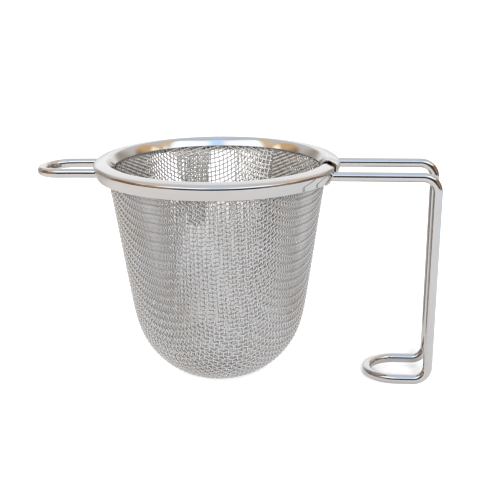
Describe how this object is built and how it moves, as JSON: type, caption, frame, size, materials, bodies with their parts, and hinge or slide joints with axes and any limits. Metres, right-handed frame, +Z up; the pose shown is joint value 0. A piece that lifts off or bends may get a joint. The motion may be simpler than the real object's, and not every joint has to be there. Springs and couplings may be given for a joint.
{
  "type": "basket strainer",
  "caption": "Deep round woven-wire strainer basket in a folded steel rim, with a bent wire handle that drops to a foot and a short wire rest loop.",
  "frame": {"origin": "centre of the flat at the bottom of the basket, on the basket's axis", "axes": "+Z up along the basket's axis, +X towards the handle, +Y to the left when looking from the basket towards the handle"},
  "size_m": [0.1199, 0.0728, 0.0677],
  "materials": {
    "wire_cloth": "plain-woven bright wire",
    "rim_sheet": "polished",
    "wire": "bright drawn"
  },
  "bodies": {
    "root": {"basket_cloth": "wire_cloth", "rim_band": "rim_sheet", "rim_hoop": "wire", "handle_wire": "wire", "rest_loop_wire": "wire"}
  },
  "joints": []
}
